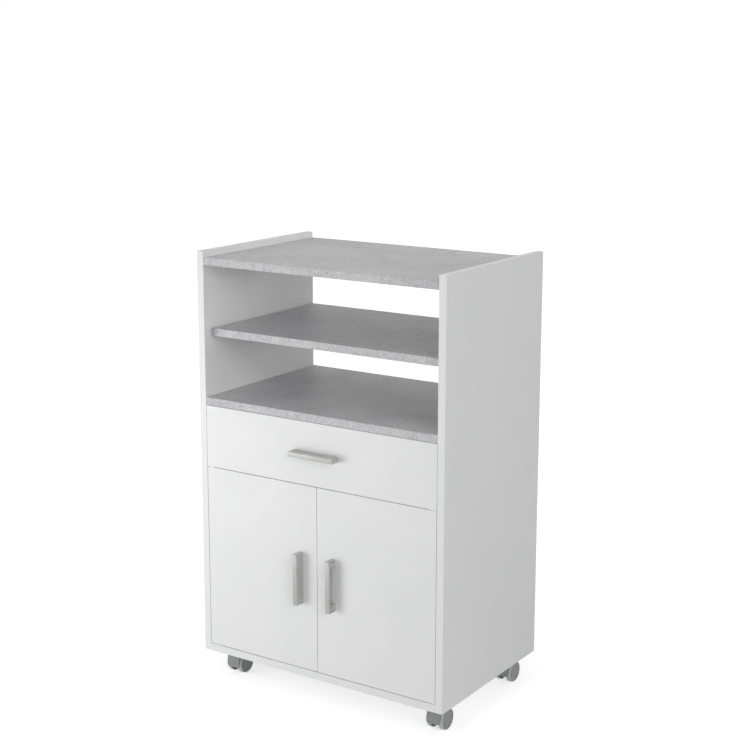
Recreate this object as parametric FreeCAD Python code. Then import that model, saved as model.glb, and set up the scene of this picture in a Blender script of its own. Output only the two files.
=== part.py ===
"""Microwave stand on four swivel casters.

Two white side panels carry a top shelf, a loose middle shelf and a lower shelf, all grey. Under the lower
shelf a drawer runs on roller runners, and below it two inset doors close a cupboard. Units are millimetres.
X points to the right, Y from the front to the back, and Z up from the floor.
"""
import FreeCAD, Part
import math
import os

os.makedirs("parts", exist_ok=True)

V = FreeCAD.Vector
ALONG_X, ALONG_Y, ALONG_Z = V(1, 0, 0), V(0, 1, 0), V(0, 0, 1)
LEFT, RIGHT = -1, 1

# ---------------------------------------------------------------- driving dimensions
overall_width = 590.0
side_depth = 380.0
side_height = 858.0
caster_height = 62.0
board = 16.0
reveal = 1.2  # gap between a side panel and the door beside it
drawer_gap = 0.8  # gap over the drawer front, and between it and the side panels
line_gap = 1.2  # gap under the drawer front, and between the doors
bottom_gap = 1.4  # gap under the doors

top_rise = 12.4  # how far the side panels stand above the top shelf
middle_shelf_top = 759.0
middle_shelf_setback = 21.0
middle_shelf_clearance = 1.5
lower_shelf_top = 617.3
door_top_z = 469.3
board_round = 0.5  # rounding of a board's edges
front_round = 0.6  # rounding of the edges of the doors and of the drawer front

handle_length = 108.0
handle_thickness = 10.5
handle_projection = 22.0
handle_hole_spacing = 96.0
door_handle_offset = 39.8  # from the gap between the doors to the handle's middle

drawer_side = 12.0
drawer_length = 330.0
drawer_height = 93.0
runner_space = 12.5
sheet = 3.0  # back panel and drawer bottom
plate = 1.2  # thickness of pressed steel fittings

swivel_inset = 43.5  # from the outer side of the stand to a caster's swivel axis
swivel_setback = 51.0  # from the front or the back to the swivel axis
wheel_diameter = 45.0
wheel_inside, wheel_outside = 9.5, 19.0  # a wheel's two faces, from the middle of its caster
wheel_trail = 13.0

# ---------------------------------------------------------------- places that follow from them
outer_x = overall_width / 2
inner_x = outer_x - board
front = handle_projection - (side_depth + handle_projection) / 2
back = front + side_depth
base_z = caster_height
top_z = base_z + side_height

floor_z = base_z + board  # top of the bottom panel
top_shelf_z = top_z - top_rise - board
lower_shelf_z = lower_shelf_top - board
middle_shelf_z = middle_shelf_top - board
door_low_z = floor_z + bottom_gap
drawer_front_low_z, drawer_front_top_z = door_top_z + line_gap, lower_shelf_z - drawer_gap
door_width = inner_x - reveal - line_gap / 2
board_back = front + board  # back face of the doors and of the drawer front

pivot_gap = 0.3  # between a pivot strip and the door beside it
strip_thickness = 0.6
rail_z = door_top_z + pivot_gap + strip_thickness
rail_front, rail_depth = board_back + 2.0, 60.0

rail_to_runner, runner_to_drawer = 3.0, 2.0
runner_z = rail_z + board + rail_to_runner
drawer_low_z = runner_z + runner_to_drawer
drawer_outer_x = inner_x - runner_space
drawer_inner_x = drawer_outer_x - drawer_side
drawer_back_y = board_back + drawer_length
groove_height, groove_play = 6.4, 0.2  # of the groove for the drawer bottom
drawer_groove_z = drawer_low_z + groove_height

back_panel_inset, back_panel_let_in = 15.0, 4.0
back_panel_y = back - back_panel_inset


# ---------------------------------------------------------------- shapes
def box(x0, x1, y0, y1, z0, z1):
    """A block between two opposite corners, given in any order."""
    (x0, x1), (y0, y1), (z0, z1) = sorted((x0, x1)), sorted((y0, y1)), sorted((z0, z1))
    return Part.makeBox(x1 - x0, y1 - y0, z1 - z0, V(x0, y0, z0))


def rod(radius, start, end):
    """A round bar from one point to another."""
    along = V(*end) - V(*start)
    return Part.makeCylinder(radius, along.Length, V(*start), along)


def joined(shapes):
    """One solid out of several that touch or overlap."""
    shapes = list(shapes)
    return shapes[0].fuse(shapes[1:]).removeSplitter() if len(shapes) > 1 else shapes[0]


def edges_along(shape, along):
    """The straight edges of a block that run along one axis."""
    return [e for e in shape.Edges
            if abs((e.lastVertex().Point - e.firstVertex().Point).normalize().dot(along)) > 0.99]


def rounded(blank, radius, along=None):
    """A block with its edges rounded, or only those that run along one axis."""
    return blank.makeFillet(radius, blank.Edges if along is None else edges_along(blank, along))


def save(node, *solids):
    """Write one node. Several solids in it stay separate pieces."""
    shape = solids[0] if len(solids) == 1 else Part.makeCompound(list(solids))
    if not shape.isValid() or not all(s.Volume > 0 for s in shape.Solids):
        raise ValueError(f"{node} is not a sound solid")
    shape.exportStep(f"parts/{node}.step")


# ---------------------------------------------------------------- knock-down fittings of the carcass
cam_radius, cam_depth, cam_inset = 7.5, 12.5, 34.0
cam_bolt_radius, cam_bolt_in_side, cam_bolt_past_rim = 3.0, 11.0, 4.0
dowel_radius, dowel_in_side, dowel_in_board = 4.0, 10.0, 20.0
play = 0.1  # radial play of a fitting in its hole

# underside, cam setbacks and dowel setbacks of each board that is fixed to the sides
fixed_boards = {
    "top_shelf": (top_shelf_z, (100, 280), (132, 248)),
    "lower_shelf": (lower_shelf_z, (100, 280), (132, 248)),
    "bottom_panel": (base_z, (100, 280), (132, 248)),
    "divider_rail": (rail_z, (38,), (62,)),
}


def cam_joints(low_z, setbacks, side):
    """The cam locks and their bolts at one end of a board, and the holes that they need."""
    cams, bolts, holes = [], [], []
    for setback in setbacks:
        x, y, z = side * (inner_x - cam_inset), front + setback, low_z + board / 2
        start = (side * (inner_x + cam_bolt_in_side), y, z)
        end = (x + side * (cam_radius - cam_bolt_past_rim), y, z)
        bolt, bore = rod(cam_bolt_radius, start, end), rod(cam_bolt_radius + play, start, end)
        cam = rod(cam_radius, (x, y, low_z), (x, y, low_z + cam_depth)).cut(bore)
        pocket = rod(cam_radius + play, (x, y, low_z), (x, y, low_z + cam_depth + play))
        cams.append(cam)
        bolts.append(bolt)
        holes += [bore, pocket]
    return cams, bolts, holes


def dowel_joints(low_z, setbacks, side):
    """The dowels at one end of a board, and their holes."""
    dowels, holes = [], []
    for setback in setbacks:
        y, z = front + setback, low_z + board / 2
        start, end = side * (inner_x + dowel_in_side), side * (inner_x - dowel_in_board)
        dowels.append(rod(dowel_radius, (start, y, z), (end, y, z)))
        holes.append(rod(dowel_radius + play, (start + side * play, y, z), (end - side * play, y, z)))
    return dowels, holes


cams, cam_bolts, dowels = [], [], []
fitting_holes = {LEFT: [], RIGHT: []}
for low_z, cam_setbacks, dowel_setbacks in fixed_boards.values():
    for side in (LEFT, RIGHT):
        new_cams, new_bolts, cam_holes = cam_joints(low_z, cam_setbacks, side)
        new_dowels, dowel_holes = dowel_joints(low_z, dowel_setbacks, side)
        cams += new_cams
        cam_bolts += new_bolts
        dowels += new_dowels
        fitting_holes[side] += cam_holes + dowel_holes
all_fitting_holes = fitting_holes[LEFT] + fitting_holes[RIGHT]

# ---------------------------------------------------------------- shelf pins
pin_radius, pin_in_side, pin_reach = 2.5, 8.0, 9.0
pin_collar, pin_collar_width = 1.5, 1.0
pin_setbacks = (60, 320)


def shelf_pin(side, setback):
    """A steel pin with a collar, cut off level with the underside of the loose shelf that lies on it."""
    y, z = front + setback, middle_shelf_z - pin_radius
    stud = rod(pin_radius, (side * (inner_x + pin_in_side), y, z), (side * (inner_x - pin_reach), y, z))
    collar = rod(pin_radius + pin_collar, (side * inner_x, y, z), (side * (inner_x - pin_collar_width), y, z))
    width = pin_radius + pin_collar
    above = box(side * inner_x, side * (inner_x - pin_reach), y - width, y + width,
                middle_shelf_z, middle_shelf_z + width)
    return joined([stud, collar]).cut(above)


shelf_pins = [shelf_pin(side, setback) for side in (LEFT, RIGHT) for setback in pin_setbacks]


def pin_holes(side):
    for setback in pin_setbacks:
        y, z = front + setback, middle_shelf_z - pin_radius
        mouth, end = side * inner_x, side * (inner_x + pin_in_side + play)
        yield rod(pin_radius + play / 2, (mouth, y, z), (end, y, z))


# ---------------------------------------------------------------- screws
screw_radius, screw_head_radius, screw_head = 1.75, 3.5, 1.5


def screw(at, into, length, radius=screw_radius, head_radius=screw_head_radius, head=screw_head):
    """A screw from the face at `at` into the material along `into`, with a flat head outside."""
    at, into = V(*at), V(*into)
    shank = Part.makeCylinder(radius, length, at, into)
    top = Part.makeCylinder(head_radius, head, at - into * head, into)
    return shank.fuse(top).removeSplitter()


def screw_hole(at, into, length, radius=screw_radius):
    at, into = V(*at), V(*into)
    return Part.makeCylinder(radius + play / 2, length + play, at, into)


# ---------------------------------------------------------------- drawer runners
runner_height = 24.0
runner_front, runner_back = front + 20.0, front + 350.0
roller_radius, roller_width, roller_chamfer = 9.0, 7.0, 0.6
roller_play = 0.3  # between a roller and the head of its rivet, and over a roller that carries
roller_bore_play = 0.05
cabinet_roller_edge, drawer_roller_edge = inner_x - 1.9, inner_x - 3.9  # outer sides, from X = 0
rivet_radius, rivet_head_radius, rivet_head = 2.0, 3.5, 1.0
cabinet_roller_y = front + 32.0
cabinet_roller_z = runner_z + plate + 2 * roller_play + roller_radius
drawer_roller_y = drawer_back_y - 11.0
drawer_roller_z = runner_z + plate + roller_play + roller_radius
channel_depth = 11.0
flange_z = cabinet_roller_z + roller_radius + roller_play
flange_side_gap = 2.5  # between the drawer runner's flange and the side panel
runner_front_gap = 0.3  # between the drawer runner and the drawer front
runner_screw_setbacks = (70, 180, 300)
runner_screw_z = runner_z + runner_height / 2
runner_screw_head, runner_screw_length = 0.9, 12.0


def roller_rivet(side, base, tip, y, z):
    """The fixed pin of a roller, from the steel at `base` to its head at `tip`, both from X = 0."""
    step = math.copysign(rivet_head, tip - base)
    shank = rod(rivet_radius, (side * base, y, z), (side * tip, y, z))
    return shank.fuse(rod(rivet_head_radius, (side * tip, y, z), (side * (tip + step), y, z)))


def runner_screw_places(side):
    for setback in runner_screw_setbacks:
        yield (side * (inner_x - plate), front + setback, runner_screw_z), (side, 0, 0)


def cabinet_runner(side):
    """The channel on the side panel, with the rivet of the roller at its front end."""
    x0, x1, flange_x = side * inner_x, side * (inner_x - plate), side * (inner_x - channel_depth)
    y0, y1, z0, z1 = runner_front, runner_back, runner_z, runner_z + runner_height
    web = box(x0, x1, y0, y1, z0, z1)
    flanges = [box(x0, flange_x, y0, y1, z0, z0 + plate), box(x0, flange_x, y0, y1, z1 - plate, z1)]
    tip = cabinet_roller_edge - roller_width - roller_play
    rivet = roller_rivet(side, inner_x - plate / 2, tip, cabinet_roller_y, cabinet_roller_z)
    holes = [screw_hole(at, into, plate) for at, into in runner_screw_places(side)]
    return joined([web, *flanges, rivet]).cut(holes)


def drawer_runner(side):
    """The angle under the drawer side, with the rivet of the roller at its back end."""
    y0, y1, low_z = board_back + runner_front_gap, drawer_back_y, drawer_low_z - plate
    x0, x1 = side * drawer_outer_x, side * (drawer_outer_x + plate)
    web = box(x0, x1, y0, y1, low_z, flange_z + plate)
    lip = box(side * drawer_inner_x, x1, y0, y1, low_z, drawer_low_z)
    flange = box(x0, side * (inner_x - flange_side_gap), y0, y1, flange_z, flange_z + plate)
    tip = drawer_roller_edge + roller_play
    rivet = roller_rivet(side, drawer_outer_x + plate / 2, tip, drawer_roller_y, drawer_roller_z)
    return joined([web, lip, flange, rivet])


def roller(side, edge, y, z):
    """A nylon roller with chamfered rims. Its outer side is `edge` from X = 0."""
    start, end = (side * edge, y, z), (side * (edge - roller_width), y, z)
    tyre = rod(roller_radius, start, end)
    return tyre.makeChamfer(roller_chamfer, tyre.Edges).cut(rod(rivet_radius + roller_bore_play, start, end))


# ---------------------------------------------------------------- side panels
def back_panel(clearance=0.0):
    """The back panel, or with a clearance the groove that takes it on all four edges."""
    x = inner_x + back_panel_let_in + clearance
    return box(-x, x, back_panel_y, back_panel_y + sheet + clearance, floor_z - back_panel_let_in - clearance,
               lower_shelf_z + back_panel_let_in + clearance)


def side_panel(side):
    panel = rounded(box(side * inner_x, side * outer_x, front, back, base_z, top_z), board_round)
    screws = [screw_hole(at, into, runner_screw_length) for at, into in runner_screw_places(side)]
    return panel.cut([back_panel(play), *fitting_holes[side], *pin_holes(side), *screws])


# ---------------------------------------------------------------- door pivots
pivot_inset, pivot_setback = 15.0, 5.0  # of the pivot axis, from the side panel and from the door's face
pivot_x = inner_x - pivot_inset  # from X = 0
pivot_y = front + pivot_setback
pivot_pin_radius, pivot_pin_length = 2.0, 9.0
bush_radius, bush_play, bush_depth = 3.5, 0.05, 11.0
strip_front, strip_back, strip_width = front + 1.5, front + 60.0, 20.0
strip_side_gap, strip_round = 0.5, 4.0
strip_edge_x = inner_x - strip_side_gap
strip_screw_setbacks = (28, 50)
strip_screw_length = 11.0


def pivot_strip(side, low_z, pin_direction):
    """A steel strip with a pin that turns in the door's edge. The pin points up or down."""
    x0, x1 = side * strip_edge_x, side * (strip_edge_x - strip_width)
    strip = box(x0, x1, strip_front, strip_back, low_z, low_z + strip_thickness)
    strip = rounded(strip, strip_round, along=ALONG_Z)
    root = low_z + strip_thickness / 2
    tip = root + pin_direction * (strip_thickness / 2 + pivot_pin_length)
    pin = rod(pivot_pin_radius, (side * pivot_x, pivot_y, root), (side * pivot_x, pivot_y, tip))
    holes = [screw_hole((x, y, low_z), (0, 0, 1), strip_thickness) for x, y in strip_screw_places(side)]
    return strip.fuse(pin).removeSplitter().cut(holes)


def strip_screw_places(side):
    return [(side * (strip_edge_x - strip_width / 2), front + setback) for setback in strip_screw_setbacks]


def strip_screws(side):
    """The screws of the top strip, up into the rail, and of the bottom strip, down into the bottom panel."""
    for x, y in strip_screw_places(side):
        yield (x, y, rail_z - strip_thickness), (0, 0, 1)
        yield (x, y, floor_z + strip_thickness), (0, 0, -1)


all_strip_screws = [place for side in (LEFT, RIGHT) for place in strip_screws(side)]

# ---------------------------------------------------------------- casters: where they are
caster_places = {
    f"{end}_{name}": (side * (outer_x - swivel_inset), y)
    for end, y in (("front", front + swivel_setback), ("back", back - swivel_setback))
    for name, side in (("left", LEFT), ("right", RIGHT))
}
mount_plate, mount_plate_thickness, mount_plate_round, mount_hole_offset = 42.0, 2.0, 5.0, 15.0
mount_plate_z = base_z - mount_plate_thickness
caster_screw_length = 12.0


def caster_screw_places():
    for x, y in caster_places.values():
        for dx in (-mount_hole_offset, mount_hole_offset):
            for dy in (-mount_hole_offset, mount_hole_offset):
                yield (x + dx, y + dy, mount_plate_z), (0, 0, 1)


# ---------------------------------------------------------------- magnetic catch for both doors
catch_half_width, catch_depth, catch_height = 23.0, 14.0, 13.0
catch_round, catch_screw_setback, catch_screw_length = 2.0, 9.5, 11.0
pole_from, pole_to, pole_thickness, pole_depth = 5.0, 19.0, 1.4, 1.0  # the slots between its pole pieces
strike_play, strike_height, strike_margin = 0.1, 12.0, 1.0
strike_from = 3.0  # from X = 0 to the plate's near edge
strike_peg_radius, strike_peg_length = 1.5, 8.0
strike_top_z = door_top_z - strike_margin
catch_front = board_back + plate + strike_play
catch_screw_reach = catch_height + catch_screw_length


def catch_screw_places():
    """Two screws from the catch's underside up into the rail."""
    y, z = catch_front + catch_screw_setback, rail_z - catch_height
    for side in (LEFT, RIGHT):
        yield (side * catch_half_width / 2, y, z), (0, 0, 1)


def magnetic_catch():
    x, y0, y1 = catch_half_width, catch_front, catch_front + catch_depth
    body = rounded(box(-x, x, y0, y1, rail_z - catch_height, rail_z), catch_round, along=ALONG_Z)
    low_z = rail_z - (catch_height + pole_thickness) / 2
    slots = [box(side * pole_from, side * pole_to, y0, y0 + pole_depth, low_z, low_z + pole_thickness)
             for side in (LEFT, RIGHT)]
    return body.cut(slots + [screw_hole(at, into, catch_screw_reach) for at, into in catch_screw_places()])


def strike_peg(side, slack=0.0):
    """The peg that holds a strike plate in its door."""
    x, z = side * catch_half_width / 2, strike_top_z - strike_height / 2
    start, end = (x, board_back + plate / 2, z), (x, board_back - strike_peg_length - slack, z)
    return rod(strike_peg_radius + slack, start, end)


def strike_plate(side):
    x0, x1 = side * strike_from, side * catch_half_width
    plate_steel = box(x0, x1, board_back, board_back + plate, strike_top_z - strike_height, strike_top_z)
    return plate_steel.fuse(strike_peg(side)).removeSplitter()


# ---------------------------------------------------------------- shelves, bottom, rail and back
board_screws = [(at, into, strip_screw_length) for at, into in all_strip_screws]
board_screws += [(at, into, caster_screw_length) for at, into in caster_screw_places()]
board_screws += [(at, into, catch_screw_reach) for at, into in catch_screw_places()]
board_screw_holes = [screw_hole(at, into, length) for at, into, length in board_screws]


def fixed_board(name, depth=side_depth, setback=0.0):
    """A board between the side panels, with the holes for whatever fastens it or is fastened to it."""
    low_z, y0 = fixed_boards[name][0], front + setback
    blank = rounded(box(-inner_x, inner_x, y0, y0 + depth, low_z, low_z + board), board_round, along=ALONG_X)
    holes = [*all_fitting_holes, *board_screw_holes, back_panel(play)]
    return blank.cut([hole for hole in holes if hole.BoundBox.intersect(blank.BoundBox)])


def middle_shelf():
    x = inner_x - middle_shelf_clearance
    blank = box(-x, x, front + middle_shelf_setback, back, middle_shelf_z, middle_shelf_top)
    return rounded(blank, board_round)


carcass_screws = [screw(at, into, length) for at, into, length in board_screws]
carcass_screws += [screw(at, into, runner_screw_length, head=runner_screw_head)
                   for side in (LEFT, RIGHT) for at, into in runner_screw_places(side)]

save("left_side_panel", side_panel(LEFT))
save("right_side_panel", side_panel(RIGHT))
save("top_shelf", fixed_board("top_shelf"))
save("middle_shelf", middle_shelf())
save("lower_shelf", fixed_board("lower_shelf"))
save("bottom_panel", fixed_board("bottom_panel"))
save("divider_rail", fixed_board("divider_rail", rail_depth, rail_front - front))
save("back_panel", back_panel())
save("cam_locks", *cams)
save("cam_bolts", *cam_bolts)
save("dowels", *dowels)
save("shelf_pins", *shelf_pins)
save("carcass_screws", *carcass_screws)
save("pivot_strips", *[pivot_strip(side, low_z, up) for side in (LEFT, RIGHT)
                       for low_z, up in ((rail_z - strip_thickness, -1), (floor_z, 1))])
save("magnetic_catch", magnetic_catch())
for name, side in (("left", LEFT), ("right", RIGHT)):
    save(f"{name}_cabinet_runner", cabinet_runner(side))
    save(f"{name}_drawer_runner", drawer_runner(side))
    save(f"{name}_cabinet_roller", roller(side, cabinet_roller_edge, cabinet_roller_y, cabinet_roller_z))
    save(f"{name}_drawer_roller", roller(side, drawer_roller_edge, drawer_roller_y, drawer_roller_z))

# ---------------------------------------------------------------- handles
end_block = 16.0
front_wall, closed_wall = 3.5, 2.4
grip_corner = 4.0
core_slot_width, core_slot_wall, core_slot_margin = 1.6, 1.6, 4.0
core_hole_radius, core_hole_offset, core_hole_reach, core_depth = 1.8, 3.0, 14.5, 6.0
handle_screw_radius, handle_screw_grip = 2.0, 10.0
handle_screw_head_radius, handle_screw_head = 4.0, 2.4
edge_round = 0.8


def handle():
    """A bar handle lying along X on a face at Y = 0. It is closed above, and hollow below for the fingers."""
    half, half_thick, reach = handle_length / 2, handle_thickness / 2, handle_projection
    body = box(-half, half, -reach, 0, -half_thick, half_thick)
    body = body.makeFillet(edge_round, [e for e in body.Edges if e.BoundBox.YMin < -1])
    grip_half, under, core_top = half - end_block, -half_thick - 1, core_depth - half_thick
    grip = box(-grip_half, grip_half, front_wall - reach, 1, under, half_thick - closed_wall)
    corners = [e for e in edges_along(grip, ALONG_Z) if e.BoundBox.YMax < 0]
    tools = [grip.makeFillet(grip_corner, corners)]
    for end in (LEFT, RIGHT):
        slot = end * (half - core_slot_wall)
        tools.append(box(slot, slot - end * core_slot_width, core_slot_margin - reach, -core_slot_margin,
                         under, core_top))
        hole_x, hole_y = end * (grip_half + core_hole_offset), -core_hole_reach
        tools.append(rod(core_hole_radius, (hole_x, hole_y, under), (hole_x, hole_y, core_top)))
        screw_x, screw_end = end * handle_hole_spacing / 2, -handle_screw_grip - 1
        tools.append(rod(handle_screw_radius + play / 2, (screw_x, 1, 0), (screw_x, screw_end, 0)))
    return body.cut(tools)


def handle_screws():
    """Two machine screws along -Y from the inner face of a board whose outer face is at Y = 0."""
    for end in (LEFT, RIGHT):
        yield screw((end * handle_hole_spacing / 2, board, 0), (0, -1, 0), board + handle_screw_grip,
                    handle_screw_radius, handle_screw_head_radius, handle_screw_head)


def handle_screw_holes():
    for end in (LEFT, RIGHT):
        x = end * handle_hole_spacing / 2
        yield rod(handle_screw_radius + play, (x, -1, 0), (x, board + 1, 0))


def placed(shapes, x, z, turn=0.0):
    """Copies of handle pieces on the front plane at X and Z, turned about Y by `turn` degrees first."""
    out = []
    for shape in shapes:
        shape = shape.copy()
        shape.rotate(V(0, 0, 0), ALONG_Y, turn)
        shape.translate(V(x, front, z))
        out.append(shape)
    return out


# ---------------------------------------------------------------- drawer
drawer_handle_z = (drawer_front_low_z + drawer_front_top_z) / 2
drawer_cam_radius, drawer_cam_depth, drawer_cam_setback = 6.0, 9.5, 24.0
drawer_fitting_heights = (28.0, 70.0)  # above the drawer sides' lower edge
drawer_bolt_radius, drawer_bolt_in_front = 2.5, 11.0
drawer_bolt_short = 3.0  # how far a bolt stops short of its cam's middle
drawer_screw_radius, drawer_screw_length = 2.4, 42.0
drawer_screw_head_radius, drawer_screw_head, drawer_screw_sunk, drawer_screw_seat = 4.0, 1.8, 2.0, 3.0
bottom_let_in, bottom_in_front = 4.0, 5.0


def drawer_cam_joints(side):
    """The cams in a drawer side and their bolts in the drawer front, with the holes that they need."""
    cams, bolts, holes = [], [], []
    x = side * (drawer_outer_x - drawer_side / 2)
    for height in drawer_fitting_heights:
        y, z = board_back + drawer_cam_setback, drawer_low_z + height
        start, end = (x, board_back - drawer_bolt_in_front, z), (x, y - drawer_bolt_short, z)
        face, bottom = (side * drawer_inner_x, y, z), (side * (drawer_inner_x + drawer_cam_depth), y, z)
        bore = rod(drawer_bolt_radius + play, start, end)
        cams.append(rod(drawer_cam_radius, face, bottom).cut(bore))
        bolts.append(rod(drawer_bolt_radius, start, end))
        holes += [bore, rod(drawer_cam_radius + play, face, (bottom[0] + side * play, y, z))]
    return cams + bolts, holes


def drawer_screw_places(side):
    x, y = side * (drawer_outer_x - drawer_screw_sunk), drawer_back_y - drawer_side / 2
    for height in drawer_fitting_heights:
        yield (x, y, drawer_low_z + height), (-side, 0, 0)


def drawer_screw_hole(at, into):
    """A stepped hole, so that the screw's head lies flush in the drawer side."""
    shank = screw_hole(at, into, drawer_screw_length, drawer_screw_radius)
    at, into = V(*at), V(*into)
    mouth = at - into * drawer_screw_seat
    seat = Part.makeCylinder(drawer_screw_head_radius + play, drawer_screw_seat, mouth, into)
    return shank.fuse(seat)


drawer_fittings, drawer_holes, drawer_screws = [], [], []
for side in (LEFT, RIGHT):
    new_fittings, new_holes = drawer_cam_joints(side)
    drawer_fittings += new_fittings
    drawer_holes += new_holes
    for at, into in drawer_screw_places(side):
        drawer_screws.append(screw(at, into, drawer_screw_length, drawer_screw_radius,
                                   drawer_screw_head_radius, drawer_screw_head))
        drawer_holes.append(drawer_screw_hole(at, into))

drawer_bottom_x = drawer_inner_x + bottom_let_in
drawer_bottom_front = board_back - bottom_in_front
groove_top_z = drawer_groove_z + sheet + groove_play
groove_x, groove_front = drawer_bottom_x + groove_play, drawer_bottom_front - groove_play
bottom_groove = box(-groove_x, groove_x, groove_front, drawer_back_y, drawer_groove_z, groove_top_z)
drawer_front_x = inner_x - drawer_gap
drawer_top_z = drawer_low_z + drawer_height

front_blank = box(-drawer_front_x, drawer_front_x, front, board_back, drawer_front_low_z, drawer_front_top_z)
front_holes = [bottom_groove, *drawer_holes, *placed(handle_screw_holes(), 0, drawer_handle_z)]
save("drawer_front", rounded(front_blank, front_round).cut(front_holes))
for name, side in (("left", LEFT), ("right", RIGHT)):
    x0, x1 = side * drawer_inner_x, side * drawer_outer_x
    blank = box(x0, x1, board_back, drawer_back_y, drawer_low_z, drawer_top_z)
    save(f"drawer_{name}_side", blank.cut([bottom_groove, *drawer_holes]))
back_blank = box(-drawer_inner_x, drawer_inner_x, drawer_back_y - drawer_side, drawer_back_y,
                 groove_top_z, drawer_top_z)
save("drawer_back", back_blank.cut(drawer_holes))
bottom_z = drawer_groove_z + groove_play / 2
save("drawer_bottom", box(-drawer_bottom_x, drawer_bottom_x, drawer_bottom_front, drawer_back_y,
                          bottom_z, bottom_z + sheet))
save("drawer_cam_fittings", *drawer_fittings)
save("drawer_screws", *drawer_screws)
save("drawer_handle", *placed([handle()], 0, drawer_handle_z))
save("drawer_handle_screws", *placed(handle_screws(), 0, drawer_handle_z))

# ---------------------------------------------------------------- doors
door_handle_z = (door_low_z + door_top_z) / 2


def bush_seat(side, edge_z, inward):
    """The hole for a bush, from the door's edge at edge_z into the door along `inward`, up or down."""
    return rod(bush_radius, (side * pivot_x, pivot_y, edge_z),
               (side * pivot_x, pivot_y, edge_z + inward * bush_depth))


def bush(side, edge_z, inward):
    """A nylon bush that turns on a pivot pin."""
    seat = bush_seat(side, edge_z, inward)
    bore = Part.makeCylinder(pivot_pin_radius + bush_play, bush_depth,
                             V(side * pivot_x, pivot_y, min(edge_z, edge_z + inward * bush_depth)))
    return seat.cut(bore)


def door(side, handle_x):
    x0, x1 = side * line_gap / 2, side * (line_gap / 2 + door_width)
    blank = rounded(box(x0, x1, front, board_back, door_low_z, door_top_z), front_round)
    seats = [bush_seat(side, z, inward) for z, inward in ((door_low_z, 1), (door_top_z, -1))]
    handle_holes = placed(handle_screw_holes(), handle_x, door_handle_z, 90)
    return blank.cut([*seats, *handle_holes, strike_peg(side, play / 2)])


# the hollow of each door handle faces away from the gap between the doors
for name, side, turn in (("left", LEFT, 90), ("right", RIGHT, -90)):
    handle_x = side * door_handle_offset
    save(f"{name}_door", door(side, handle_x))
    save(f"{name}_door_handle", *placed([handle()], handle_x, door_handle_z, turn))
    save(f"{name}_door_handle_screws", *placed(handle_screws(), handle_x, door_handle_z, 90))
    save(f"{name}_door_bushes", bush(side, door_low_z, 1), bush(side, door_top_z, -1))
    save(f"{name}_strike_plate", strike_plate(side))

# ---------------------------------------------------------------- casters
# A caster is drawn about its swivel axis at X = Y = 0, with its wheels behind the axis.
wheel_radius = wheel_diameter / 2
axle_y, axle_z = wheel_trail, wheel_radius
hood_to_plate, boss_to_plate = 7.0, 0.4
hood_half, hood_low, hood_top = 15.5, 17.0, mount_plate_z - hood_to_plate
roof_play, apron_play = 1.6, 1.8  # from the wheels to the roof over them and to the apron before them
apron_lean = 5.0  # how far the apron leans back on its way up
apron_back = axle_y - wheel_radius - apron_play
apron_thickness, apron_corner = 2.5, 7.0
apron_front = apron_back - apron_thickness
roof_low, roof_back, roof_corner = wheel_diameter + roof_play, 24.0, 6.0
spine_half, spine_back, spine_corner = 7.5, axle_y + 8.0, 5.0
boss_radius, boss_top = 11.0, mount_plate_z - boss_to_plate
stem_radius, stem_low = 4.0, 36.0
stem_head_radius, stem_head, stem_play = 5.5, 2.0, 0.3
axle_radius, axle_end = 3.0, 14.5
bead_radius, bead = 3.4, 1.0  # the bead at each end of the axle, which keeps its wheel on
bead_end_play = 0.3
hub_radius, hub_inside = 6.5, 8.0
running_play = 0.05
tread_chamfer_width, tread_chamfer_drop, face_ring, face_slope = 2.5, 1.5, 1.2, 0.6
rim, wheel_wall, dish = 2.5, 2.0, 0.5
rib_count, rib_width, rib_setback, rib_overlap = 6, 1.4, 3.0, 0.5


def caster_plate(x, y):
    """The square plate that is screwed under the bottom panel, with a hole for the stem riveted in it."""
    half = mount_plate / 2
    flat = box(x - half, x + half, y - half, y + half, mount_plate_z, base_z)
    holes = [screw_hole(at, into, mount_plate_thickness) for at, into in caster_screw_places()]
    return rounded(flat, mount_plate_round, along=ALONG_Z).cut([stem(x, y), *holes])


def stem(x, y):
    """The kingpin, with a head at its foot that keeps the housing on."""
    shank = rod(stem_radius, (x, y, stem_low), (x, y, base_z))
    return shank.fuse(rod(stem_head_radius, (x, y, stem_low), (x, y, stem_low + stem_head))).removeSplitter()


def slab(half, outline):
    """A plate across X from -half to half. Its outline is a list of (y, z) corners."""
    corners = [V(-half, y, z) for y, z in (*outline, outline[0])]
    return Part.Face(Part.makePolygon(corners)).extrude(V(2 * half, 0, 0))


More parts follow.
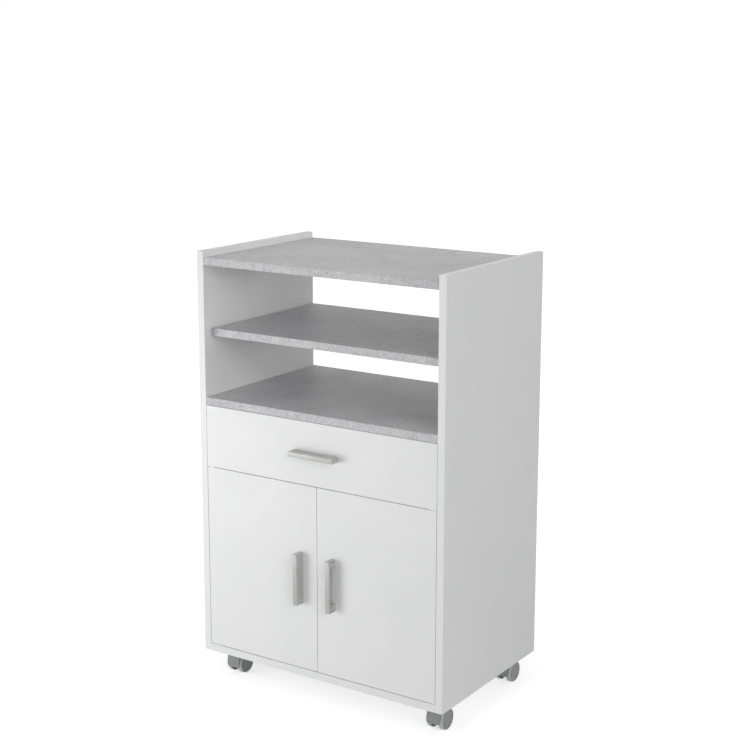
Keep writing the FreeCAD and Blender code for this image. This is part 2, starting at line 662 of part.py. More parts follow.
def housing():
    """The hood of a caster: an apron before both wheels, a roof over them and a spine between them."""
    roof_front = apron_front + apron_lean
    apron = slab(hood_half, [(apron_front, hood_low), (apron_back, hood_low),
                             (apron_back + apron_lean, hood_top), (roof_front, hood_top)])
    low_corners = [e for e in edges_along(apron, ALONG_Y) if e.BoundBox.ZMax < hood_low + 1]
    apron = apron.makeFillet(apron_corner, low_corners)
    roof = box(-hood_half, hood_half, roof_front, roof_back, roof_low, hood_top)
    back_corners = [e for e in edges_along(roof, ALONG_Z) if e.BoundBox.YMin > 0]
    roof = roof.makeFillet(roof_corner, back_corners)
    spine = slab(spine_half, [(apron_front, hood_low), (spine_back, hood_low),
                              (spine_back, hood_top), (roof_front, hood_top)])
    hub_corner = [e for e in edges_along(spine, ALONG_X) if e.BoundBox.YMin > 0 and e.BoundBox.ZMax < axle_z]
    spine = spine.makeFillet(spine_corner, hub_corner)
    boss = rod(boss_radius, (0, 0, hood_top - 1), (0, 0, boss_top))
    head_low, head_top = stem_low - stem_play, stem_low + stem_head + stem_play
    pocket = rod(stem_head_radius + stem_play, (0, 0, head_low), (0, 0, head_top))
    stem_bore = rod(stem_radius + running_play, (0, 0, stem_low), (0, 0, boss_top))
    axle_bore = rod(axle_radius, (-spine_half, axle_y, axle_z), (spine_half, axle_y, axle_z))
    return joined([apron, roof, spine, boss]).cut([stem_bore, pocket, axle_bore])


def axle():
    """The steel pin through the spine, with a bead inside each wheel's hub."""
    pin = rod(axle_radius, (-axle_end, 0, 0), (axle_end, 0, 0))
    beads = [rod(bead_radius, (side * (axle_end - bead), 0, 0), (side * axle_end, 0, 0))
             for side in (LEFT, RIGHT)]
    return joined([pin, *beads])


def wheel(side):
    """One wheel about an axle along X. Its outer face is a shallow dish, and its inner side is hollow."""
    face = wheel_outside - dish
    floor = face - wheel_wall
    chamfer_radius = wheel_radius - tread_chamfer_drop
    profile = [
        (hub_inside, 0), (hub_inside, hub_radius), (floor, hub_radius), (floor, wheel_radius - rim),
        (wheel_inside, wheel_radius - rim), (wheel_inside, wheel_radius),
        (wheel_outside - tread_chamfer_width, wheel_radius), (wheel_outside, chamfer_radius),
        (wheel_outside, chamfer_radius - face_ring), (face, chamfer_radius - face_ring - face_slope),
        (face, 0), (hub_inside, 0),
    ]
    section = Part.makePolygon([V(side * x, 0, r) for x, r in profile])
    body = Part.Face(section).revolve(V(0, 0, 0), ALONG_X, 360)
    ribs = []
    for number in range(rib_count):
        rib = box(side * (wheel_inside + rib_setback), side * (floor + rib_overlap), hub_radius - rib_overlap,
                  wheel_radius - rim + rib_overlap, -rib_width / 2, rib_width / 2)
        rib.rotate(V(0, 0, 0), ALONG_X, number * 360 / rib_count)
        ribs.append(rib)
    end = axle_end + bead_end_play
    bore = rod(axle_radius + running_play, (side * hub_inside, 0, 0), (side * end, 0, 0))
    seat_start = axle_end - bead - bead_end_play
    bead_seat = rod(bead_radius + running_play, (side * seat_start, 0, 0), (side * end, 0, 0))
    return joined([body, *ribs]).cut([bore, bead_seat])


def moved(shape, x, y, z):
    shape = shape.copy()
    shape.translate(V(x, y, z))
    return shape


save("caster_plates", *[caster_plate(x, y) for x, y in caster_places.values()])
save("caster_stems", *[stem(x, y) for x, y in caster_places.values()])
for name, (x, y) in caster_places.items():
    save(f"{name}_caster_housing", moved(housing(), x, y, 0))
    save(f"{name}_caster_axle", moved(axle(), x, y + axle_y, axle_z))
    save(f"{name}_caster_left_wheel", moved(wheel(LEFT), x, y + axle_y, axle_z))
    save(f"{name}_caster_right_wheel", moved(wheel(RIGHT), x, y + axle_y, axle_z))
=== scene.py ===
import bpy
import math
from mathutils import Matrix, Vector


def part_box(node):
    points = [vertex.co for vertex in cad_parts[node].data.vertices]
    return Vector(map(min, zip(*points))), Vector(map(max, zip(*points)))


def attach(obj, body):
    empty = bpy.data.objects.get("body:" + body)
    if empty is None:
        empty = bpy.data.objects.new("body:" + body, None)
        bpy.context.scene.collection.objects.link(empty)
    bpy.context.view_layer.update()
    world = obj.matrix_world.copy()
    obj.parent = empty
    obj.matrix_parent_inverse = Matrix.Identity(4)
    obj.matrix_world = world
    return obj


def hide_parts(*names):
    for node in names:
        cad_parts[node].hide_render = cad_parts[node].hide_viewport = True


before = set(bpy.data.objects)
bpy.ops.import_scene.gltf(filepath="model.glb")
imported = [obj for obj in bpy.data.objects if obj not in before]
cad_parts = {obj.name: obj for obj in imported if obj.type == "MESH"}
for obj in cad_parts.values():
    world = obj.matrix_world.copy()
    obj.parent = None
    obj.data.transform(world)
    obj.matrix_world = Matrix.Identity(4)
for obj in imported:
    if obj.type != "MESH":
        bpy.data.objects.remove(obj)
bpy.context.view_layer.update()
bpy.ops.object.select_all(action="DESELECT")

# ---------------------------------------------------------------- side panels
# Two uprights of 16 mm particle board, faced with white melamine and edged with white tape.
# All the other boards are fixed between them with cams and dowels.


def new_finish(name, colour, roughness, metallic=0.0):
    """A material of one colour, gloss and metal, on which the patterns below are laid."""
    finish = bpy.data.materials.new(name)
    finish.use_nodes = True
    shader = finish.node_tree.nodes["Principled BSDF"]
    shader.inputs["Base Color"].default_value = (*colour, 1.0)
    shader.inputs["Roughness"].default_value = roughness
    shader.inputs["Metallic"].default_value = metallic
    return finish


def mottle(finish, scale, detail, roughness=0.5, stretch=(1.0, 1.0, 1.0)):
    """A cloudy pattern of `scale` clouds to the metre, crowded along an axis by its stretch."""
    nodes, links = finish.node_tree.nodes, finish.node_tree.links
    place = nodes.new("ShaderNodeTexCoord")
    spread = nodes.new("ShaderNodeMapping")
    spread.inputs["Scale"].default_value = stretch
    clouds = nodes.new("ShaderNodeTexNoise")
    clouds.inputs["Scale"].default_value = scale
    clouds.inputs["Detail"].default_value = detail
    clouds.inputs["Roughness"].default_value = roughness
    links.new(place.outputs["Object"], spread.inputs["Vector"])
    links.new(spread.outputs["Vector"], clouds.inputs["Vector"])
    return clouds.outputs["Fac"]


def tint(finish, pattern, stops):
    """Colours the surface by a pattern: stops are (place from 0 to 1, colour)."""
    nodes, links = finish.node_tree.nodes, finish.node_tree.links
    ramp = nodes.new("ShaderNodeValToRGB")
    while len(ramp.color_ramp.elements) < len(stops):
        ramp.color_ramp.elements.new(0.5)
    for element, (place, colour) in zip(ramp.color_ramp.elements, stops):
        element.position = place
        element.color = (*colour, 1.0)
    links.new(pattern, ramp.inputs["Fac"])
    links.new(ramp.outputs["Color"], nodes["Principled BSDF"].inputs["Base Color"])


def vary_gloss(finish, pattern, smoothest, roughest):
    """Lets the roughness wander between two values with a pattern."""
    nodes, links = finish.node_tree.nodes, finish.node_tree.links
    span = nodes.new("ShaderNodeMapRange")
    span.inputs["From Min"].default_value = 0.3
    span.inputs["From Max"].default_value = 0.7
    span.inputs["To Min"].default_value = smoothest
    span.inputs["To Max"].default_value = roughest
    links.new(pattern, span.inputs["Value"])
    links.new(span.outputs["Result"], nodes["Principled BSDF"].inputs["Roughness"])


def emboss(finish, pattern, depth, strength=1.0):
    """Raises the surface by a pattern, up to a depth in metres, over what is embossed already."""
    nodes, links = finish.node_tree.nodes, finish.node_tree.links
    shader_normal = nodes["Principled BSDF"].inputs["Normal"]
    relief = nodes.new("ShaderNodeBump")
    relief.inputs["Distance"].default_value = depth
    relief.inputs["Strength"].default_value = strength
    if shader_normal.links:
        links.new(shader_normal.links[0].from_socket, relief.inputs["Normal"])
    links.new(pattern, relief.inputs["Height"])
    links.new(relief.outputs["Normal"], shader_normal)


def clad(finish, *nodes):
    """Gives parts that keep their own mesh a finish."""
    for name in nodes:
        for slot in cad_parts[name].material_slots:
            slot.material = finish


white_melamine = new_finish("white_melamine", (0.86, 0.86, 0.86), 0.42)
tint(white_melamine, mottle(white_melamine, 5.0, 3.0),
     [(0.3, (0.845, 0.848, 0.852)), (0.7, (0.868, 0.868, 0.866))])
vary_gloss(white_melamine, mottle(white_melamine, 16.0, 4.0), 0.38, 0.47)
emboss(white_melamine, mottle(white_melamine, 1100.0, 2.0, 0.6), 0.00006)
clad(white_melamine, "left_side_panel", "right_side_panel")

# ---------------------------------------------------------------- shelves
# Three 16 mm boards faced with a grey laminate that copies trowelled cement. The middle one lies
# loose on its pins and is less deep. The other two are fixed.
grey_laminate = new_finish("grey_laminate", (0.54, 0.54, 0.55), 0.5)


def weighed(finish, patterns):
    """One pattern out of several, each with its own share."""
    nodes, links = finish.node_tree.nodes, finish.node_tree.links
    total = None
    for pattern, share in patterns:
        step = nodes.new("ShaderNodeMath")
        step.operation = "MULTIPLY_ADD"
        step.inputs[1].default_value = share
        step.inputs[2].default_value = 0.0
        links.new(pattern, step.inputs[0])
        if total is not None:
            links.new(total, step.inputs[2])
        total = step.outputs["Value"]
    return total


trowel_clouds = mottle(grey_laminate, 8.0, 5.0, 0.6)
sand_patches = mottle(grey_laminate, 60.0, 5.0, 0.65)
sand_grains = mottle(grey_laminate, 230.0, 2.0, 0.6)
cement = weighed(grey_laminate,
                 [(trowel_clouds, 0.25), (sand_patches, 0.3), (sand_grains, 0.45)])
tint(grey_laminate, cement, [
    (0.39, (0.400, 0.395, 0.408)),
    (0.46, (0.510, 0.505, 0.518)),
    (0.53, (0.575, 0.571, 0.582)),
    (0.61, (0.670, 0.667, 0.673)),
])
vary_gloss(grey_laminate, sand_patches, 0.40, 0.54)
emboss(grey_laminate, sand_patches, 0.00025, 0.6)
emboss(grey_laminate, sand_grains, 0.00008, 0.6)
clad(grey_laminate, "top_shelf", "middle_shelf", "lower_shelf")

# ---------------------------------------------------------------- bottom panel, rail and back panel
# The bottom panel and the rail under the drawer are white board too. The back panel is 3 mm
# hardboard, white on both faces, in grooves behind the drawer and the cupboard. The drawer's
# bottom is made of the same.
clad(white_melamine, "bottom_panel", "divider_rail")

white_hardboard = new_finish("white_hardboard", (0.8, 0.8, 0.79), 0.6)
pressed_fibres = mottle(white_hardboard, 260.0, 6.0, 0.7, (1.0, 1.0, 0.35))
tint(white_hardboard, pressed_fibres,
     [(0.3, (0.765, 0.763, 0.755)), (0.7, (0.815, 0.815, 0.808))])
vary_gloss(white_hardboard, pressed_fibres, 0.52, 0.68)
emboss(white_hardboard, pressed_fibres, 0.0002, 0.5)
clad(white_hardboard, "back_panel", "drawer_bottom")

# ---------------------------------------------------------------- fittings
# Zinc plated cams, bolts, screws, pins, plates and pivots, pressed or turned from steel. The
# dowels beside the cams are fluted beech.
zinc_steel = new_finish("zinc_steel", (0.62, 0.63, 0.65), 0.34, 1.0)
plating = mottle(zinc_steel, 130.0, 4.0, 0.6)
tint(zinc_steel, plating, [(0.32, (0.545, 0.555, 0.580)), (0.68, (0.675, 0.685, 0.695))])
vary_gloss(zinc_steel, plating, 0.27, 0.42)
emboss(zinc_steel, mottle(zinc_steel, 1500.0, 2.0), 0.00003)
clad(zinc_steel, "cam_locks", "cam_bolts", "shelf_pins", "carcass_screws", "pivot_strips",
     "caster_plates", "caster_stems", "drawer_cam_fittings", "drawer_screws",
     "drawer_handle_screws", "left_door_handle_screws", "right_door_handle_screws",
     "left_strike_plate", "right_strike_plate")

beech = new_finish("beech", (0.72, 0.55, 0.36), 0.62)
beech_grain = mottle(beech, 60.0, 6.0, 0.65, (0.6, 9.0, 9.0))
tint(beech, beech_grain, [(0.3, (0.560, 0.380, 0.220)), (0.5, (0.680, 0.500, 0.315)),
                          (0.72, (0.760, 0.590, 0.400))])
emboss(beech, beech_grain, 0.00015, 0.7)
clad(beech, "dowels")

# ---------------------------------------------------------------- drawer
# A white front on a low box of 12 mm white board. It runs on two pairs of pressed steel channels,
# enamelled white, each with a nylon roller on a rivet.
clad(white_melamine, "drawer_front", "drawer_left_side", "drawer_right_side", "drawer_back")

white_runner_steel = new_finish("white_runner_steel", (0.85, 0.85, 0.84), 0.33)
enamel = mottle(white_runner_steel, 420.0, 3.0, 0.6)
tint(white_runner_steel, mottle(white_runner_steel, 14.0, 3.0),
     [(0.3, (0.820, 0.822, 0.815)), (0.7, (0.862, 0.862, 0.855))])
vary_gloss(white_runner_steel, enamel, 0.28, 0.38)
emboss(white_runner_steel, enamel, 0.00008, 0.6)
clad(white_runner_steel, "left_cabinet_runner", "right_cabinet_runner",
     "left_drawer_runner", "right_drawer_runner")

white_nylon = new_finish("white_nylon", (0.84, 0.84, 0.82), 0.5)
moulding = mottle(white_nylon, 700.0, 3.0, 0.6)
tint(white_nylon, mottle(white_nylon, 90.0, 3.0),
     [(0.3, (0.805, 0.805, 0.780)), (0.7, (0.860, 0.860, 0.840))])
vary_gloss(white_nylon, moulding, 0.42, 0.56)
emboss(white_nylon, moulding, 0.00006, 0.7)
clad(white_nylon, "left_cabinet_roller", "right_cabinet_roller",
     "left_drawer_roller", "right_drawer_roller")

# ---------------------------------------------------------------- doors
# Two white inset doors that turn on steel pins in nylon bushes. A nylon magnetic catch under the
# rail holds a steel plate on the back of each.
clad(white_melamine, "left_door", "right_door")
clad(white_nylon, "left_door_bushes", "right_door_bushes", "magnetic_catch")

# ---------------------------------------------------------------- handles
# Three equal die-cast bars with a satin nickel lacquer, each held by two machine screws. A bar is
# open below and behind for the fingers, and its end blocks are cored to save metal.
handle_metal = new_finish("handle_metal", (0.47, 0.475, 0.467), 0.36, 0.1)
lacquer = mottle(handle_metal, 900.0, 3.0, 0.6)
tint(handle_metal, mottle(handle_metal, 30.0, 4.0),
     [(0.3, (0.440, 0.446, 0.438)), (0.7, (0.495, 0.500, 0.491))])
vary_gloss(handle_metal, lacquer, 0.31, 0.41)
emboss(handle_metal, lacquer, 0.00003, 0.7)

bar_length, bar_thickness, bar_reach = 0.108, 0.0105, 0.022
end_block, front_wall, closed_wall = 0.016, 0.0035, 0.0024
grip_corner, bar_round, bar_burr = 0.004, 0.0008, 0.00025
core_depth, core_radius, core_length = 0.006, 0.0018, 0.008
core_in_block, core_from_face = 0.003, 0.0145
slot_wall, slot_width, slot_margin = 0.0016, 0.0016, 0.004
screw_from_middle, screw_bore_radius, screw_bore_length = 0.048, 0.00205, 0.012
cut_past = 0.001


def block(name, low, high):
    """A rectangular blank between two corners, in edit-ready form at the origin."""
    low, high = Vector(low), Vector(high)
    bpy.ops.object.select_all(action="DESELECT")
    bpy.ops.mesh.primitive_cube_add(size=1.0, location=(low + high) / 2, scale=high - low)
    made = bpy.context.active_object
    made.name = name
    bpy.ops.object.transform_apply(location=True, rotation=True, scale=True)
    return made


def round_edges(piece, radius, wanted, segments=4):
    """Bevels the edges whose two ends `wanted` accepts."""
    bpy.context.view_layer.objects.active = piece
    bpy.ops.object.mode_set(mode="EDIT")
    bpy.ops.mesh.select_mode(type="EDGE")
    bpy.ops.mesh.select_all(action="DESELECT")
    bpy.ops.object.mode_set(mode="OBJECT")
    points = piece.data.vertices
    for edge in piece.data.edges:
        start, end = (points[index].co for index in edge.vertices)
        edge.select = wanted(start, end)
    bpy.ops.object.mode_set(mode="EDIT")
    bpy.ops.mesh.bevel(offset=radius, offset_type="OFFSET", segments=segments, profile=0.5,
                       affect="EDGES")
    bpy.ops.object.mode_set(mode="OBJECT")


def lies_along(axis, start, end):
    """Whether an edge runs along X, Y or Z, given as 0, 1 or 2."""
    return all(abs(start[other] - end[other]) < 1e-6 for other in range(3) if other != axis)


def combine(piece, other, operation):
    """Adds another solid to a piece, or cuts it away, and removes the other."""
    bpy.context.view_layer.objects.active = piece
    step = piece.modifiers.new("combine", "BOOLEAN")
    step.object = other
    step.operation = operation
    step.solver = "EXACT"
    bpy.ops.object.modifier_apply(modifier=step.name)
    bpy.data.objects.remove(other)


def soften(piece, width, angle, segments=2):
    """Breaks the sharp edges left on a piece, and smooths the shading between its flat faces."""
    bpy.ops.object.select_all(action="DESELECT")
    piece.select_set(True)
    bpy.context.view_layer.objects.active = piece
    step = piece.modifiers.new("soften", "BEVEL")
    step.width = width
    step.segments = segments
    step.limit_method = "ANGLE"
    step.angle_limit = math.radians(angle)
    bpy.ops.object.modifier_apply(modifier=step.name)
    bpy.ops.object.shade_smooth_by_angle(angle=math.radians(35))


def turned(name, profile, sides=64):
    """A round solid drawn out along X, ring by ring. The profile is (place along X, radius)."""
    bpy.ops.object.select_all(action="DESELECT")
    place, radius = profile[0]
    bpy.ops.mesh.primitive_circle_add(
        vertices=sides, radius=radius, fill_type="NOTHING",
        location=(place, 0.0, 0.0), rotation=(0.0, math.radians(90), 0.0))
    made = bpy.context.active_object
    made.name = name
    bpy.ops.object.transform_apply(location=True, rotation=True, scale=True)
    bpy.ops.object.mode_set(mode="EDIT")
    bpy.ops.mesh.select_all(action="SELECT")
    bpy.ops.mesh.edge_face_add()
    for next_place, next_radius in profile[1:]:
        bpy.ops.mesh.extrude_region_move(
            TRANSFORM_OT_translate={"value": (next_place - place, 0.0, 0.0)})
        grown = next_radius / radius
        bpy.ops.transform.resize(value=(1.0, grown, grown), center_override=(next_place, 0.0, 0.0))
        place, radius = next_place, next_radius
    bpy.ops.mesh.select_all(action="DESELECT")
    bpy.ops.mesh.select_mode(type="EDGE")
    bpy.ops.mesh.select_non_manifold(
        extend=False, use_wire=False, use_boundary=True,
        use_multi_face=False, use_non_contiguous=False, use_verts=False)
    bpy.ops.mesh.edge_face_add()
    bpy.ops.mesh.select_all(action="SELECT")
    bpy.ops.mesh.normals_make_consistent(inside=False)
    bpy.ops.object.mode_set(mode="OBJECT")
    return made


half_bar, half_thick = bar_length / 2, bar_thickness / 2
bar = block("bar", (-half_bar, -bar_reach, -half_thick), (half_bar, 0.0, half_thick))
round_edges(bar, bar_round, lambda start, end: min(start.y, end.y) < -bar_reach / 2)
half_grip = half_bar - end_block
grip = block("grip", (-half_grip, front_wall - bar_reach, -half_thick - cut_past),
             (half_grip, cut_past, half_thick - closed_wall))
round_edges(grip, grip_corner,
            lambda start, end: lies_along(2, start, end) and start.y < 0.0, segments=6)
combine(bar, grip, "DIFFERENCE")
core_floor = core_depth - half_thick
for end in (-1, 1):
    slot_outside = end * (half_bar - slot_wall)
    slot_inside = slot_outside - end * slot_width
    slot = block(
        "slot", (min(slot_outside, slot_inside), slot_margin - bar_reach, -half_thick - cut_past),
        (max(slot_outside, slot_inside), -slot_margin, core_floor))
    combine(bar, slot, "DIFFERENCE")
    core = turned("core", [(0.0, core_radius), (core_length, core_radius)], 24)
    core_place = (end * (half_grip + core_in_block), -core_from_face, core_floor)
    core.data.transform(Matrix.Translation(core_place)
                        @ Matrix.Rotation(math.radians(90), 4, "Y"))
    combine(bar, core, "DIFFERENCE")
    shank = turned("shank", [(0.0, screw_bore_radius), (screw_bore_length, screw_bore_radius)], 24)
    shank.data.transform(Matrix.Translation((end * screw_from_middle, cut_past, 0.0))
                         @ Matrix.Rotation(math.radians(-90), 4, "Z"))
    combine(bar, shank, "DIFFERENCE")
soften(bar, bar_burr, 50)


def fit_handle(node, body, turn):
    """Sets a copy of the bar where its part is, turned about Y from its open side down."""
    low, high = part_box(node)
    made = bpy.data.objects.new(node.replace("_handle", "_bar"), bar.data.copy())
    bpy.context.scene.collection.objects.link(made)
    made.data.transform(Matrix.Translation(((low.x + high.x) / 2, high.y, (low.z + high.z) / 2))
                        @ Matrix.Rotation(math.radians(turn), 4, "Y"))
    made.data.materials.clear()
    made.data.materials.append(handle_metal)
    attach(made, body)
    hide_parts(node)


fit_handle("drawer_handle", "drawer", 0)
fit_handle("left_door_handle", "left_door", 90)
fit_handle("right_door_handle", "right_door", -90)
bpy.data.objects.remove(bar)

# ---------------------------------------------------------------- caster hoods
# A moulded grey hood with an apron before the wheels, a roof over them and a spine between them.
# It swivels on the steel stem that is riveted in the plate under the bottom panel. The wheels'
# axle goes through the spine and is steel as well.
caster_grey = new_finish("caster_grey", (0.26, 0.285, 0.275), 0.34)
spark_texture = mottle(caster_grey, 800.0, 3.0, 0.65)
tint(caster_grey, mottle(caster_grey, 55.0, 4.0),
     [(0.3, (0.242, 0.267, 0.257)), (0.7, (0.278, 0.303, 0.293))])
vary_gloss(caster_grey, spark_texture, 0.28, 0.40)
emboss(caster_grey, spark_texture, 0.00006, 0.8)
clad(zinc_steel, *[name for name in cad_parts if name.endswith("_caster_axle")])

swivels = {
    "front_left": (-0.2515, -0.128), "front_right": (0.2515, -0.128),
    "back_left": (-0.2515, 0.150), "back_right": (0.2515, 0.150),
}
axle_behind, axle_height = 0.013, 0.0225
hood_half, hood_low, hood_top = 0.0155, 0.017, 0.053
apron_front, apron_back, apron_lean, apron_round = -0.0138, -0.0113, 0.005, 0.007
roof_low, roof_back, roof_round = 0.0466, 0.024, 0.006
spine_half, spine_back, spine_round = 0.0075, 0.021, 0.005
collar_low, collar_top, collar_radius = 0.050, 0.0596, 0.011
flange_low, flange_top, flange_radius = 0.0357, 0.0383, 0.0058
stem_bore_top, stem_bore_radius = 0.0650, 0.00405
axle_bore_half, axle_bore_radius = 0.02, 0.003
hood_burr, pick_margin = 0.0005, 0.0005


def lean_back(piece, front_face_only):
    """Slopes a block away from the front on its way up: all of it, or only its front face."""
    bpy.context.view_layer.objects.active = piece
    bpy.ops.object.mode_set(mode="EDIT")
    bpy.ops.mesh.select_mode(type="VERT")
    bpy.ops.mesh.select_all(action="DESELECT")
    bpy.ops.object.mode_set(mode="OBJECT")
    for point in piece.data.vertices:
        in_front = point.co.y < apron_front + pick_margin
        point.select = point.co.z > hood_top - pick_margin and (in_front or not front_face_only)
    bpy.ops.object.mode_set(mode="EDIT")
    bpy.ops.transform.translate(value=(0.0, apron_lean, 0.0))
    bpy.ops.object.mode_set(mode="OBJECT")


hood = block("hood", (-hood_half, apron_front, hood_low), (hood_half, apron_back, hood_top))
lean_back(hood, False)
round_edges(hood, apron_round,
            lambda start, end: (max(start.z, end.z) < hood_low + 2 * pick_margin
                                and abs(start.x - end.x) < 1e-6),
            segments=8)
roof = block("roof", (-hood_half, apron_front + apron_lean, roof_low),
             (hood_half, roof_back, hood_top))
round_edges(roof, roof_round,
            lambda start, end: lies_along(2, start, end) and start.y > 0.0, segments=8)
combine(hood, roof, "UNION")
spine = block("spine", (-spine_half, apron_front, hood_low), (spine_half, spine_back, hood_top))
lean_back(spine, True)
round_edges(spine, spine_round,
            lambda start, end: (lies_along(0, start, end) and start.y > 0.0
                                and start.z < axle_height),
            segments=8)
combine(hood, spine, "UNION")
upright = Matrix.Rotation(math.radians(-90), 4, "Y")
collar = turned("collar", [(collar_low, collar_radius), (collar_top, collar_radius)], 48)
collar.data.transform(upright)
combine(hood, collar, "UNION")
stem_bore = turned("stem_bore", [
    (flange_low, flange_radius), (flange_top, flange_radius),
    (flange_top, stem_bore_radius), (stem_bore_top, stem_bore_radius),
], 48)
stem_bore.data.transform(upright)
combine(hood, stem_bore, "DIFFERENCE")
axle_bore = turned("axle_bore", [(-axle_bore_half, axle_bore_radius),
                                 (axle_bore_half, axle_bore_radius)], 32)
axle_bore.data.transform(Matrix.Translation((0.0, axle_behind, axle_height)))
combine(hood, axle_bore, "DIFFERENCE")
soften(hood, hood_burr, 50)

for name, (x, y) in swivels.items():
    made = bpy.data.objects.new(f"{name}_caster_hood", hood.data.copy())
    bpy.context.scene.collection.objects.link(made)
    made.data.transform(Matrix.Translation((x, y, 0.0)))
    made.data.materials.clear()
    made.data.materials.append(caster_grey)
    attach(made, f"{name}_caster")
    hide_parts(f"{name}_caster_housing")
bpy.data.objects.remove(hood)

# ---------------------------------------------------------------- caster wheels
# Eight moulded wheels, two to a caster. Each has a shallow dish outside, and inside a hub, a rim
# and six ribs, and it snaps on the steel axle. The tread round the rim is given a paler grey than
# the wheel: a painted highlight for the light that the tread catches.
# A paler copy of the caster grey, a painted highlight laid on the wheels' treads.
tread_painted_highlight = new_finish("tread_painted_highlight", (0.62, 0.63, 0.605), 0.5)
scuffs = mottle(tread_painted_highlight, 420.0, 4.0, 0.65)
tint(tread_painted_highlight, scuffs, [(0.3, (0.575, 0.585, 0.560)), (0.7, (0.660, 0.670, 0.645))])
vary_gloss(tread_painted_highlight, scuffs, 0.44, 0.58)
emboss(tread_painted_highlight, scuffs, 0.00006, 0.7)

rim_outside, rim_inside, hub_inside = 0.019, 0.0095, 0.008
wheel_radius, hub_radius, rim_thickness = 0.0225, 0.0065, 0.0025
dish_face, hollow_floor = 0.0185, 0.0165
bore_end, bore_radius = 0.0132, 0.00305
pin_head_end, pin_head_radius = 0.0148, 0.00345
shoulder_width, shoulder_drop = 0.0025, 0.0015
lip_radius, dish_radius, dish_middle = wheel_radius - 0.0027, wheel_radius - 0.0033, 0.0006
rib_inside, rib_outside, rib_half = 0.0125, 0.0170, 0.0007
rib_start, rib_end, rib_count = 0.006, 0.0205, 6
# The first is how far in from the wheel's edge the painted highlight on the tread reaches.
painted_highlight_depth, wheel_burr = 0.0016, 0.0003
wheel = turned("wheel", [
    (pin_head_end, pin_head_radius), (bore_end, pin_head_radius),
    (bore_end, bore_radius), (hub_inside, bore_radius), (hub_inside, hub_radius),
    (hollow_floor, hub_radius), (hollow_floor, wheel_radius - rim_thickness),
    (rim_inside, wheel_radius - rim_thickness), (rim_inside, wheel_radius),
    (rim_outside - shoulder_width, wheel_radius), (rim_outside, wheel_radius - shoulder_drop),
    (rim_outside, lip_radius), (dish_face, dish_radius), (dish_face, dish_middle),
], 72)
rib = block("rib", (rib_inside, rib_start, -rib_half), (rib_outside, rib_end, rib_half))
for number in range(rib_count):
    one_rib = bpy.data.objects.new("one_rib", rib.data.copy())
    bpy.context.scene.collection.objects.link(one_rib)
    one_rib.data.transform(Matrix.Rotation(math.radians(360 / rib_count * number), 4, "X"))
    combine(wheel, one_rib, "UNION")
bpy.data.objects.remove(rib)
soften(wheel, wheel_burr, 40)
# Faces beyond this radius, the tread and its shoulder, take the painted highlight.
painted_highlight_starts = wheel_radius - painted_highlight_depth
for face in wheel.data.polygons:
    face.material_index = int(math.hypot(face.center.y, face.center.z) > painted_highlight_starts)

for name, (x, y) in swivels.items():
    for side, half_turn in (("left", 180), ("right", 0)):
        made = bpy.data.objects.new(f"{name}_caster_{side}_rim", wheel.data.copy())
        bpy.context.scene.collection.objects.link(made)
        turn_round = Matrix.Rotation(math.radians(half_turn), 4, "Z")
        made.data.transform(Matrix.Translation((x, y + axle_behind, axle_height)) @ turn_round)
        made.data.materials.append(caster_grey)
        made.data.materials.append(tread_painted_highlight)
        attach(made, f"{name}_caster_{side}_wheel")
        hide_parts(f"{name}_caster_{side}_wheel")
bpy.data.objects.remove(wheel)

# ---------------------------------------------------------------- floor, background and light
# A plain white floor and white surroundings. The floor is lifted to white for the eye alone, more
# so away from the stand, so it keeps the stand's shadow. Four soft boxes light the stand: low from
# the left, from the right, from above, and a narrow one from behind that shines into the bays.
bpy.ops.object.select_all(action="DESELECT")
bpy.ops.mesh.primitive_plane_add(size=40.0, location=(0.0, 0.0, 0.0))
floor = bpy.context.active_object
floor.name = "floor"
pale_floor = new_finish("pale_floor", (0.8, 0.8, 0.8), 0.9)
floor.data.materials.append(pale_floor)
nodes, links = pale_floor.node_tree.nodes, pale_floor.node_tree.links
nodes["Principled BSDF"].inputs["Emission Color"].default_value = (1.0, 1.0, 1.0, 1.0)


def seen_directly(nodes, links):
    """1 for a ray from the camera, a mirror or glass, and 0 for one from a dull surface."""
    path = nodes.new("ShaderNodeLightPath")
    total = path.outputs["Is Camera Ray"]
    for output in ("Is Glossy Ray", "Is Transmission Ray"):
        either = nodes.new("ShaderNodeMath")
        either.operation = "MAXIMUM"
        links.new(total, either.inputs[0])
        links.new(path.outputs[output], either.inputs[1])
        total = either.outputs["Value"]
    return total


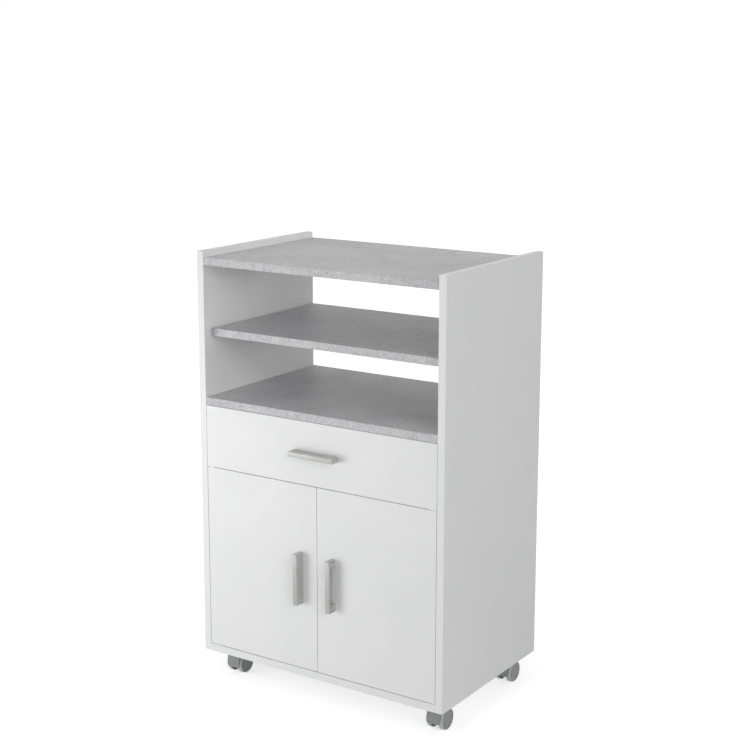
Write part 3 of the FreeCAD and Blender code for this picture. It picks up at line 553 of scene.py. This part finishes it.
floor_place = nodes.new("ShaderNodeTexCoord")
how_far = nodes.new("ShaderNodeVectorMath")
how_far.operation = "LENGTH"
links.new(floor_place.outputs["Object"], how_far.inputs[0])
lift_there = nodes.new("ShaderNodeMapRange")
lift_there.interpolation_type = "SMOOTHSTEP"
lift_there.inputs["From Min"].default_value = 0.3
lift_there.inputs["From Max"].default_value = 1.4
lift_there.inputs["To Min"].default_value = 0.62
lift_there.inputs["To Max"].default_value = 0.85
links.new(how_far.outputs["Value"], lift_there.inputs["Value"])
lift = nodes.new("ShaderNodeMath")
lift.operation = "MULTIPLY"
links.new(seen_directly(nodes, links), lift.inputs[0])
links.new(lift_there.outputs["Result"], lift.inputs[1])
links.new(lift.outputs["Value"], nodes["Principled BSDF"].inputs["Emission Strength"])

world = bpy.data.worlds.new("surroundings")
bpy.context.scene.world = world
world.use_nodes = True
nodes, links = world.node_tree.nodes, world.node_tree.links
background = nodes["Background"]
background.inputs["Color"].default_value = (1.0, 1.0, 1.0, 1.0)
level = nodes.new("ShaderNodeMapRange")
level.inputs["To Min"].default_value = 0.29
level.inputs["To Max"].default_value = 1.0
links.new(seen_directly(nodes, links), level.inputs["Value"])
links.new(level.outputs["Result"], background.inputs["Strength"])


def soft_lamp(name, place, aim, size, watts, spread=180.0):
    """A square soft box that faces a point. A spread under 180 degrees narrows its beam."""
    data = bpy.data.lights.new(name, "AREA")
    data.size = size
    data.energy = watts
    data.spread = math.radians(spread)
    lamp = bpy.data.objects.new(name, data)
    bpy.context.scene.collection.objects.link(lamp)
    lamp.location = place
    lamp.rotation_euler = (Vector(aim) - Vector(place)).to_track_quat("-Z", "Y").to_euler()


soft_lamp("left_key", (-1.1, -1.45, 0.36), (0.0, -0.1, 0.30), 0.9, 11.8)
soft_lamp("right_fill", (2.55, -1.75, 1.6), (0.0, 0.0, 0.5), 1.6, 27.5)
soft_lamp("overhead", (0.2, -0.4, 3.0), (0.0, 0.0, 0.5), 1.8, 11.0)
soft_lamp("through_bays", (0.33, 1.70, 1.14), (-0.14, 0.0, 0.76), 0.4, 0.45, spread=40.0)

# ---------------------------------------------------------------- camera
# It stands to the right of the stand and above it, and looks a little down.
lens = bpy.data.cameras.new("camera")
lens.lens = 74.68
lens.shift_y = -0.02
camera = bpy.data.objects.new("camera", lens)
bpy.context.scene.collection.objects.link(camera)
camera.location = (1.7001, -2.5406, 1.3462)
camera.rotation_euler = (math.radians(90.0 - 11.746), 0.0, math.radians(33.737))
bpy.context.scene.camera = camera

bpy.context.scene.view_settings.view_transform = "Standard"
